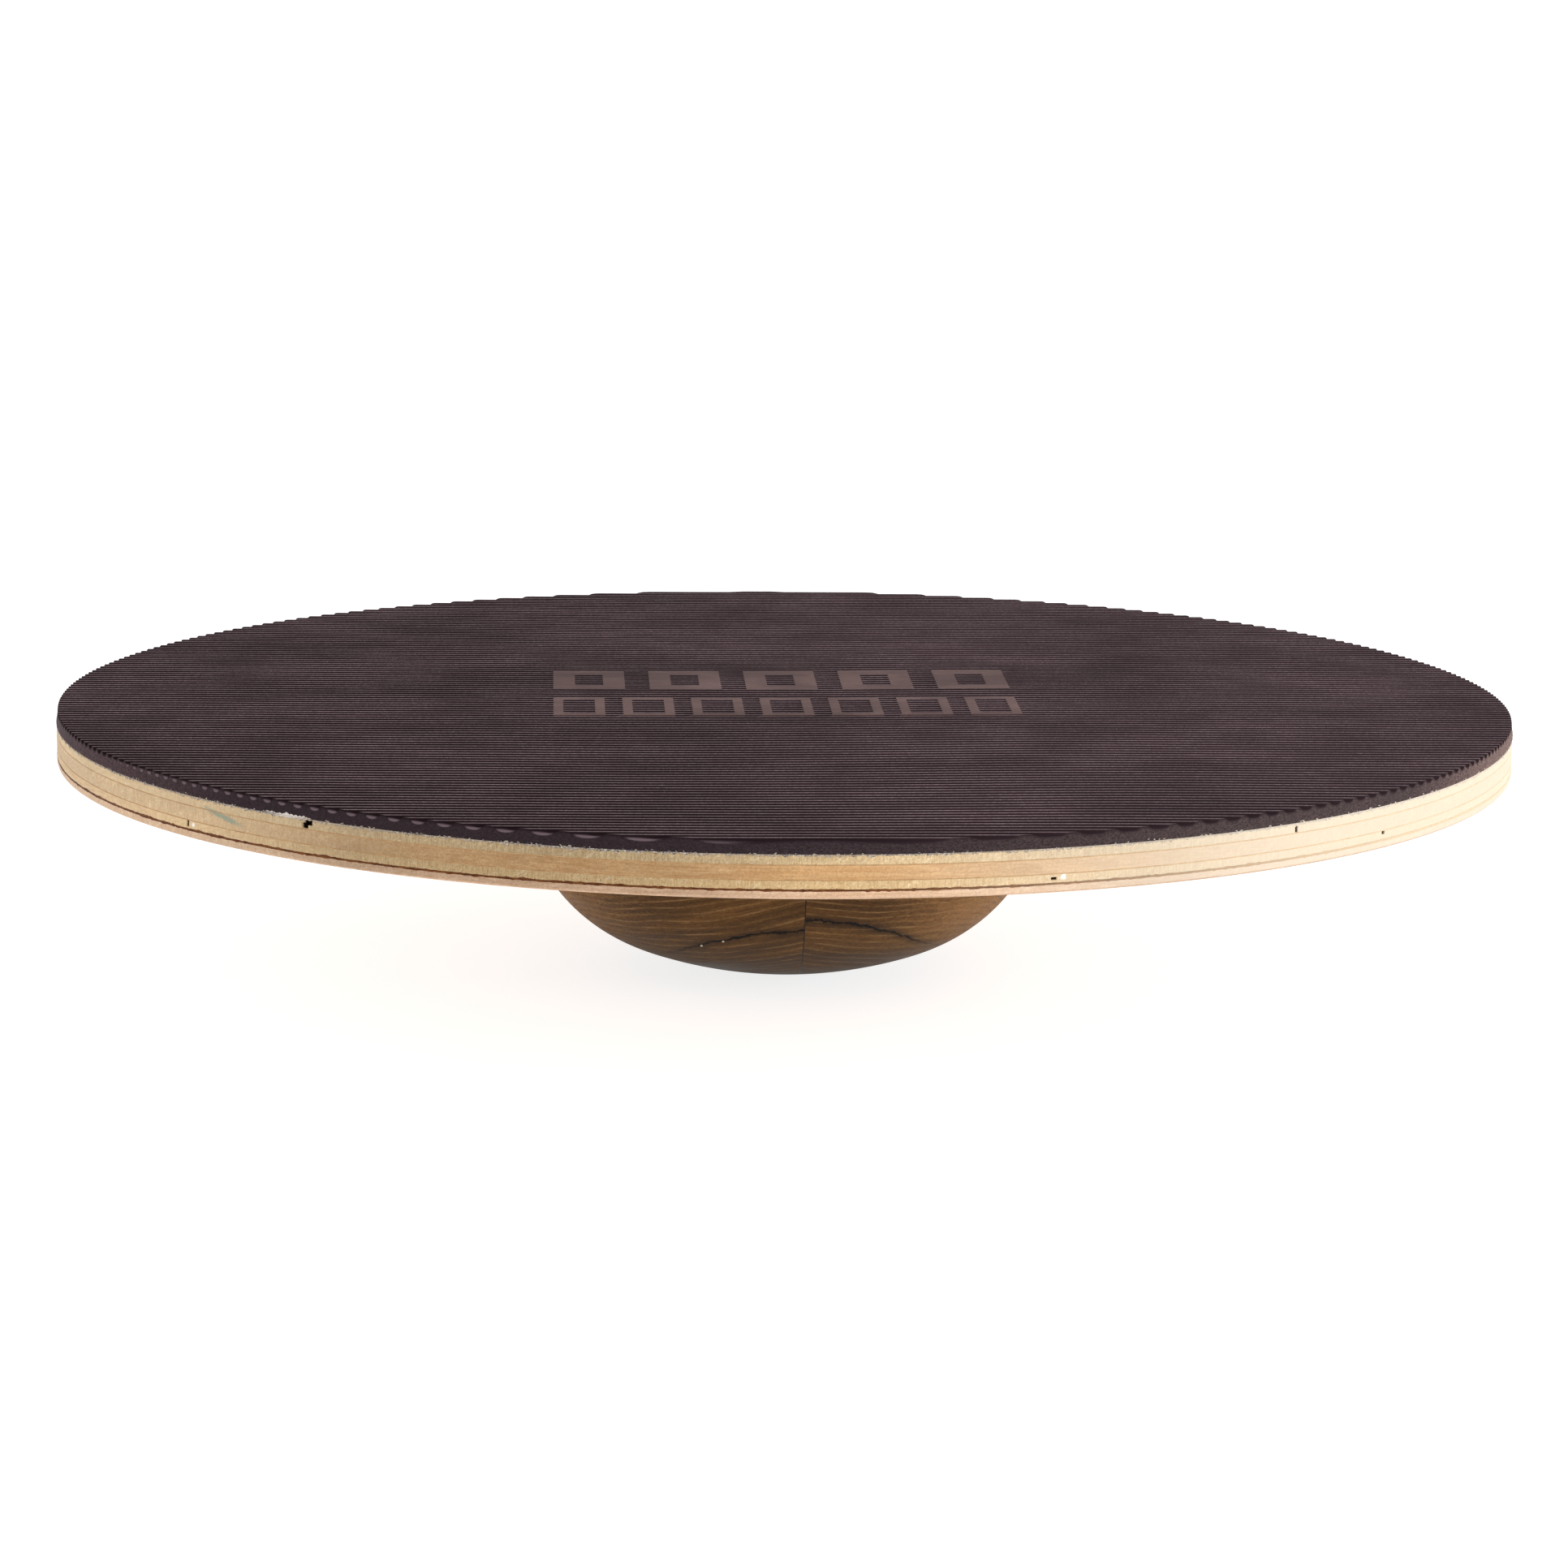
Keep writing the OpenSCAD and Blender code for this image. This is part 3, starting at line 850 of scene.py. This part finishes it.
def glue_film(name, node, material, up, down, lip, lump, seed, steps=RIM_STEPS,
              radius=RIM_R, flake=None, drilled=True):
    """A glue film with a ragged rim in lumps of about lump across. It stands out by up to lip,
    and spreads over its neighbours' edges by up to up and down. flake is (start, end, height) of
    a raised flake, with its start and end as angles."""
    low, high = (corner.z for corner in span(node))
    dice = random.Random(seed)
    verts, faces, rings = [], [], [[], [], [], []]

    def rough(x, y, level):
        """Random height of the rim: smooth lumps with crumbs on them."""
        lumps = wobble(x, y, level, lump, seed)
        return 0.4 + 0.9 * lumps + 0.75 * dice.uniform(-1, 1)

    for i in range(steps):
        angle = 360 * i / steps - 180
        turn = math.radians(angle)
        x, y = radius * math.sin(turn), -radius * math.cos(turn)
        out = min(radius + lip * max(0.1, rough(x, y, 0)), radius + lip)
        bottom = low - down * max(0, rough(x, y, 9))
        top = high + up * max(0, rough(x, y, 33))
        if flake and flake[0] < angle < flake[1]:
            top += flake[2] * (0.75 + 0.5 * wobble(x, y, 51, 1.4, seed))
            out = radius + lip
        inner = radius - FILM_INSET
        for ring, (r, z) in zip(rings, ((inner, low), (out, bottom), (out, top), (inner, high))):
            ring.append(len(verts))
            verts.append((math.sin(turn) * r, -math.cos(turn) * r, z))
    for below, above in zip(rings, rings[1:]):
        faces += ring_faces(below, above)
    faces += [tuple(rings[0][::-1]), tuple(rings[-1])]
    piece = mesh_piece(name, verts, faces, 30)
    if drilled:
        drill(piece)
    settle(piece, node, material)


def screw_cutter():
    """Clearance for the four screws, from above the top of the deck into the dome."""
    radius, head_radius = SCREW_D / 2, SCREW_HEAD_D / 2
    profile = [(0, SCREW_LOW), (radius, SCREW_LOW + SCREW_POINT),
               (radius, SCREW_TOP - SCREW_HEAD_H), (head_radius, SCREW_TOP),
               (head_radius, SCREW_TOP + OVERCUT), (0, SCREW_TOP + OVERCUT)]
    verts, faces = [], []
    one_verts, one_faces = revolve(profile, SCREW_SIDES)
    middle = (SEAM_LEFT + SEAM_RIGHT) / 2
    for dx in (-SCREW_SPACING / 2, SCREW_SPACING / 2):
        for dy in (-SCREW_SPACING / 2, SCREW_SPACING / 2):
            base = len(verts)
            verts += [(x + middle + dx, y + dy, z) for x, y, z in one_verts]
            faces += [tuple(base + i for i in face) for face in one_faces]
    cutter = mesh_piece("screw_cutter", verts, faces)
    cutter.hide_render = True
    return cutter


def drill(piece):
    """Cuts the screws' clearance out of a piece."""
    cut = piece.modifiers.new("screws", "BOOLEAN")
    cut.operation, cut.solver, cut.object = "DIFFERENCE", "EXACT", CUTTER
    graph = bpy.context.evaluated_depsgraph_get()
    mesh = bpy.data.meshes.new_from_object(piece.evaluated_get(graph))
    piece.modifiers.clear()
    old, piece.data = piece.data, mesh
    bpy.data.meshes.remove(old)


def veneers():
    """The materials of the four veneers' rims, from the top down."""
    face = veneer_material("face_veneer_edge", False, (srgb(218, 192, 150), srgb(198, 168, 126)),
                           (srgb(214, 188, 146), srgb(190, 159, 116)), chipped=True, smeared=True)
    core = veneer_material("core_veneer_edge", True, (srgb(214, 173, 124), srgb(194, 149, 100)),
                           (srgb(208, 178, 136), srgb(186, 152, 110)), smeared=True)
    cross = veneer_material("cross_veneer_edge", False, (srgb(220, 188, 142), srgb(198, 163, 117)),
                            (srgb(218, 187, 139), srgb(196, 161, 113)), chipped=True,
                            flecks=((-50.9, 64.1, 0.8), (17.3, 64.3, 0.9)))
    bottom = veneer_material("bottom_veneer_edge", True, (srgb(225, 190, 159), srgb(204, 165, 132)),
                             (srgb(217, 181, 150), srgb(190, 151, 119)))
    return face, core, cross, bottom


def fine_glue(name, node, material, seed):
    """One of the two thin lines of amber glue."""
    glue_film(name, node, material, up=0.05, down=0.05, lip=0.02, lump=2, seed=seed)


def deck():
    """Veneers and the glue between them, from the top down, and the fringe of glue on top."""
    face, core, cross, bottom = veneers()
    amber = glue_material("amber_glue", srgb(192, 156, 112), srgb(170, 130, 88))
    dark = glue_material("dark_glue", srgb(116, 68, 32), srgb(74, 36, 14))
    ply("ply_top_sawn", "ply_top", face)
    fine_glue("fine_glue_upper_line", "fine_glue_upper", amber, 2)
    ply("ply_core_sawn", "ply_core", core)
    fine_glue("fine_glue_lower_line", "fine_glue_lower", amber, 3)
    ply("ply_cross_sawn", "ply_cross", cross)
    glue_film("dark_glue_line_ragged", "dark_glue_line", dark,
              up=0.2, down=0.16, lip=0.06, lump=2.5, seed=4)
    ply("ply_bottom_sawn", "ply_bottom", bottom, EASED_BOTTOM)
    glue_film("mat_glue_fringe", "mat_glue", contact_glue_material(),
              up=0.35, down=0.45, lip=0.11, lump=1.1, seed=5, steps=FRINGE_STEPS,
              flake=WHITE_CHIP, drilled=False)


# ---------------------------------------------------------------- the dome
def dome_profile():
    """Half section of the dome from the middle of its crown to the middle of its flat top."""
    crown_z = math.sqrt(CROWN_R ** 2 - CROWN_FLAT_R ** 2)
    centre_x = DOME_R - SHOULDER_R
    meeting = math.asin(centre_x / (CROWN_R - SHOULDER_R))
    centre_z = crown_z - (CROWN_R - SHOULDER_R) * math.cos(meeting)
    flat = math.asin(CROWN_FLAT_R / CROWN_R)
    points = [(0, 0)]
    for i in range(CROWN_STEPS + 1):
        turn = flat + (meeting - flat) * i / CROWN_STEPS
        points.append((CROWN_R * math.sin(turn), crown_z - CROWN_R * math.cos(turn)))
    for i in range(1, SHOULDER_STEPS + 1):
        turn = meeting + (math.pi / 2 - meeting) * i / SHOULDER_STEPS
        x = centre_x + SHOULDER_R * math.sin(turn)
        points.append((x, centre_z - SHOULDER_R * math.cos(turn)))
    return points + [(DOME_R, DOME_H - DOME_CHAMFER), (DOME_R - DOME_CHAMFER, DOME_H), (0, DOME_H)]


def dome_part(name, node, material, low_x=None, high_x=None, drilled=True):
    """The dome between two planes square to X; None leaves a side whole."""
    verts, faces = revolve(dome_profile(), DOME_STEPS)
    bm = bmesh.new()
    points = [bm.verts.new((x * MM, y * MM, z * MM)) for x, y, z in verts]
    for face in faces:
        bm.faces.new([points[i] for i in face])
    for x, side in ((low_x, -1), (high_x, 1)):
        if x is None:
            continue
        cut = bmesh.ops.bisect_plane(bm, geom=bm.verts[:] + bm.edges[:] + bm.faces[:],
                                     plane_co=(x * MM, 0, 0), plane_no=(side, 0, 0),
                                     clear_outer=True)
        edges = [e for e in cut["geom_cut"] if isinstance(e, bmesh.types.BMEdge)]
        bmesh.ops.contextual_create(bm, geom=edges)
    bmesh.ops.recalc_face_normals(bm, faces=bm.faces[:])
    bm.normal_update()
    mesh = bpy.data.meshes.new(name)
    bm.to_mesh(mesh)
    bm.free()
    piece = new_piece(name, mesh, 35)
    if drilled:
        drill(piece)
    settle(piece, node, material)


def dome():
    """The two turned blocks, the glue in their seam, and the glue that holds the dome."""
    left = dome_material("dome_wood_left", lean=15, crack=(3.6, 23.3, 0.0082), end_light_from=46,
                         seed=2, flecks=((-24.2, 16.6), (-18.5, 18.8)))
    right = dome_material("dome_wood_right", lean=-8, crack=(3.9, 26.5, 0.0103), end_light_from=30,
                          seed=7)
    seam = glue_material("seam_glue", srgb(40, 28, 22), srgb(22, 15, 12))
    amber = glue_material("dome_joint_glue", srgb(150, 112, 72), srgb(120, 84, 50))
    dome_part("dome_block_left_turned", "dome_block_left", left, high_x=SEAM_LEFT)
    dome_part("dome_block_right_turned", "dome_block_right", right, low_x=SEAM_RIGHT)
    dome_part("dome_seam_film", "dome_seam_glue", seam, SEAM_LEFT, SEAM_RIGHT,
              drilled=False)
    glue_film("dome_glue_film", "dome_glue", amber,
              up=0, down=0, lip=0.1, lump=2, seed=6, steps=DOME_STEPS, radius=DOME_GLUE_R)


def screws():
    """The CAD's own screws, in steel."""
    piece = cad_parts["dome_screws"]
    piece.data.materials.clear()
    piece.data.materials.append(steel_material())


# ---------------------------------------------------------------- stage
def make_camera():
    """The photo's view."""
    data = bpy.data.cameras.new("camera")
    data.sensor_width = SENSOR_W
    data.lens = CAMERA_LENS
    data.clip_end = 100
    camera = bpy.data.objects.new("camera", data)
    turn = math.radians(CAMERA_TURN)
    place = Vector((-CAMERA_BACK * math.sin(turn), -CAMERA_BACK * math.cos(turn),
                    MAT_TOP + CAMERA_UP)) * MM
    aim = (Matrix.Rotation(-turn, 4, "Z") @ Matrix.Rotation(math.radians(90 - CAMERA_PITCH), 4, "X")
           @ Matrix.Rotation(math.radians(CAMERA_ROLL), 4, "Z"))
    camera.matrix_world = Matrix.Translation(place) @ aim
    bpy.context.scene.collection.objects.link(camera)
    bpy.context.scene.camera = camera


def key_light():
    """A round soft light from the right, aimed at the middle of the floor under the board."""
    data = bpy.data.lights.new("key_right", "AREA")
    data.shape = "DISK"
    data.size = KEY_SIZE * MM
    data.energy = KEY_POWER
    light = bpy.data.objects.new("key_right", data)
    light.location = Vector(KEY_PLACE) * MM
    light.rotation_euler = (-Vector(KEY_PLACE)).to_track_quat("-Z", "Y").to_euler()
    bpy.context.scene.collection.objects.link(light)


def studio():
    """White surroundings and a white floor."""
    world = bpy.data.worlds.new("studio_white")
    world.use_nodes = True
    background = world.node_tree.nodes["Background"]
    background.inputs["Color"].default_value = (1, 1, 1, 1)
    background.inputs["Strength"].default_value = 1.0
    bpy.context.scene.world = world
    bpy.context.scene.view_settings.view_transform = "Standard"
    verts, faces = revolve([(0, -FLOOR_DROP), (FLOOR_R, -FLOOR_DROP)], FLOOR_STEPS)
    floor = mesh_piece("studio_floor", verts, faces)
    floor.data.materials.append(floor_material())


make_camera()
CUTTER = screw_cutter()
rubber_mat()
deck()
dome()
screws()
bpy.data.objects.remove(CUTTER)
key_light()
studio()
